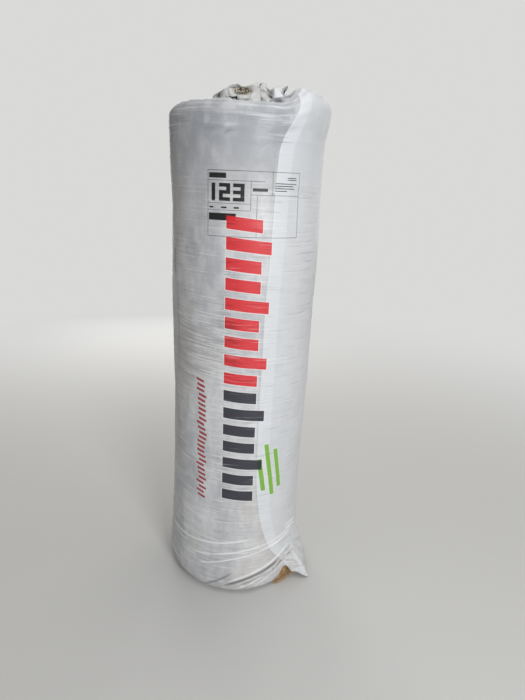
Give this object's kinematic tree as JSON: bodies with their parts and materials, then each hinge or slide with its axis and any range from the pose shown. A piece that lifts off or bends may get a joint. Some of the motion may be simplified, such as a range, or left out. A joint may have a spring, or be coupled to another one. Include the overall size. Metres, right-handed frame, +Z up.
{
  "type": "insulation roll",
  "caption": "Roll of mineral wool blanket standing on its end in a plastic film wrap, folded under the foot and gathered to an open mouth on top.",
  "frame": {"origin": "on the floor, at the roll's axis", "axes": "+Z up along the roll's axis, -Y towards the printed side, +X to the right of someone who faces the print"},
  "size_m": [0.3676, 0.3594, 1.2613],
  "materials": {
    "wool": "matte",
    "film": "satin"
  },
  "bodies": {
    "root": {"wool_roll": "wool", "wrap_film": "film"}
  },
  "joints": []
}
